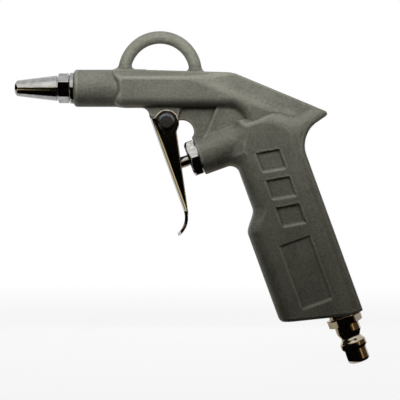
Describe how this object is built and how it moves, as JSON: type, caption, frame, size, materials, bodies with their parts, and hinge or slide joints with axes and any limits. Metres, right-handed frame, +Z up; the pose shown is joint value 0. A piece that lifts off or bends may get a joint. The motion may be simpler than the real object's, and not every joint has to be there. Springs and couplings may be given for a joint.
{
  "type": "air blow gun",
  "caption": "Hand-held pneumatic air duster with a pistol grip, a thumb-sized lever under the barrel, a tapered jet, a hanging loop and a quick-connect inlet plug.",
  "frame": {"origin": "centre of the jet's outlet, on the barrel's axis", "axes": "-X is the way the air leaves, +X runs back along the barrel, +Y is the width, +Z is up with the hanging loop on top; the grip leans 20 degrees back"},
  "size_m": [0.163, 0.021, 0.1533],
  "materials": {
    "casting": "fine sandblasted and matt coated",
    "chrome": "bright plated",
    "steel": "satin",
    "zinc": "bright zinc",
    "plug_steel": "polished nickel plate",
    "brass": "turned",
    "rubber": "matt"
  },
  "bodies": {
    "housing": {"body": "casting", "nozzle": "chrome", "nozzle_washer": "rubber", "nozzle_adapter": "chrome", "adapter_seal": "rubber", "valve_cap": "chrome", "valve_cap_washer": "zinc", "gallery_seal": "rubber", "gland_bush": "brass", "stem_seal": "rubber", "valve_spring": "steel", "inlet_plug": "plug_steel", "inlet_washer": "rubber"},
    "lever": {"trigger": "chrome", "pivot_pin": "steel"},
    "valve_slide": {"valve_stem": "steel", "poppet": "brass", "poppet_seal": "rubber", "poppet_nut": "steel"}
  },
  "joints": [
    {"name": "trigger_hinge", "type": "hinge", "parent": "housing", "child": "lever", "pos_m": [0.0698, 0, -0.0157], "axis": [0, -1, 0], "range_deg": [0, 9], "stiffness_Nm_per_rad": 0.776, "springref_deg": -5.73},
    {"name": "stem_slide", "type": "slide", "parent": "housing", "child": "valve_slide", "axis": [0.9397, 0, 0.342], "range_m": [0, 0.0031], "deforming": ["valve_spring"]}
  ],
  "couplings": [
    {"joint": "stem_slide", "follows": "trigger_hinge", "m_per_rad": 0.01947}
  ]
}
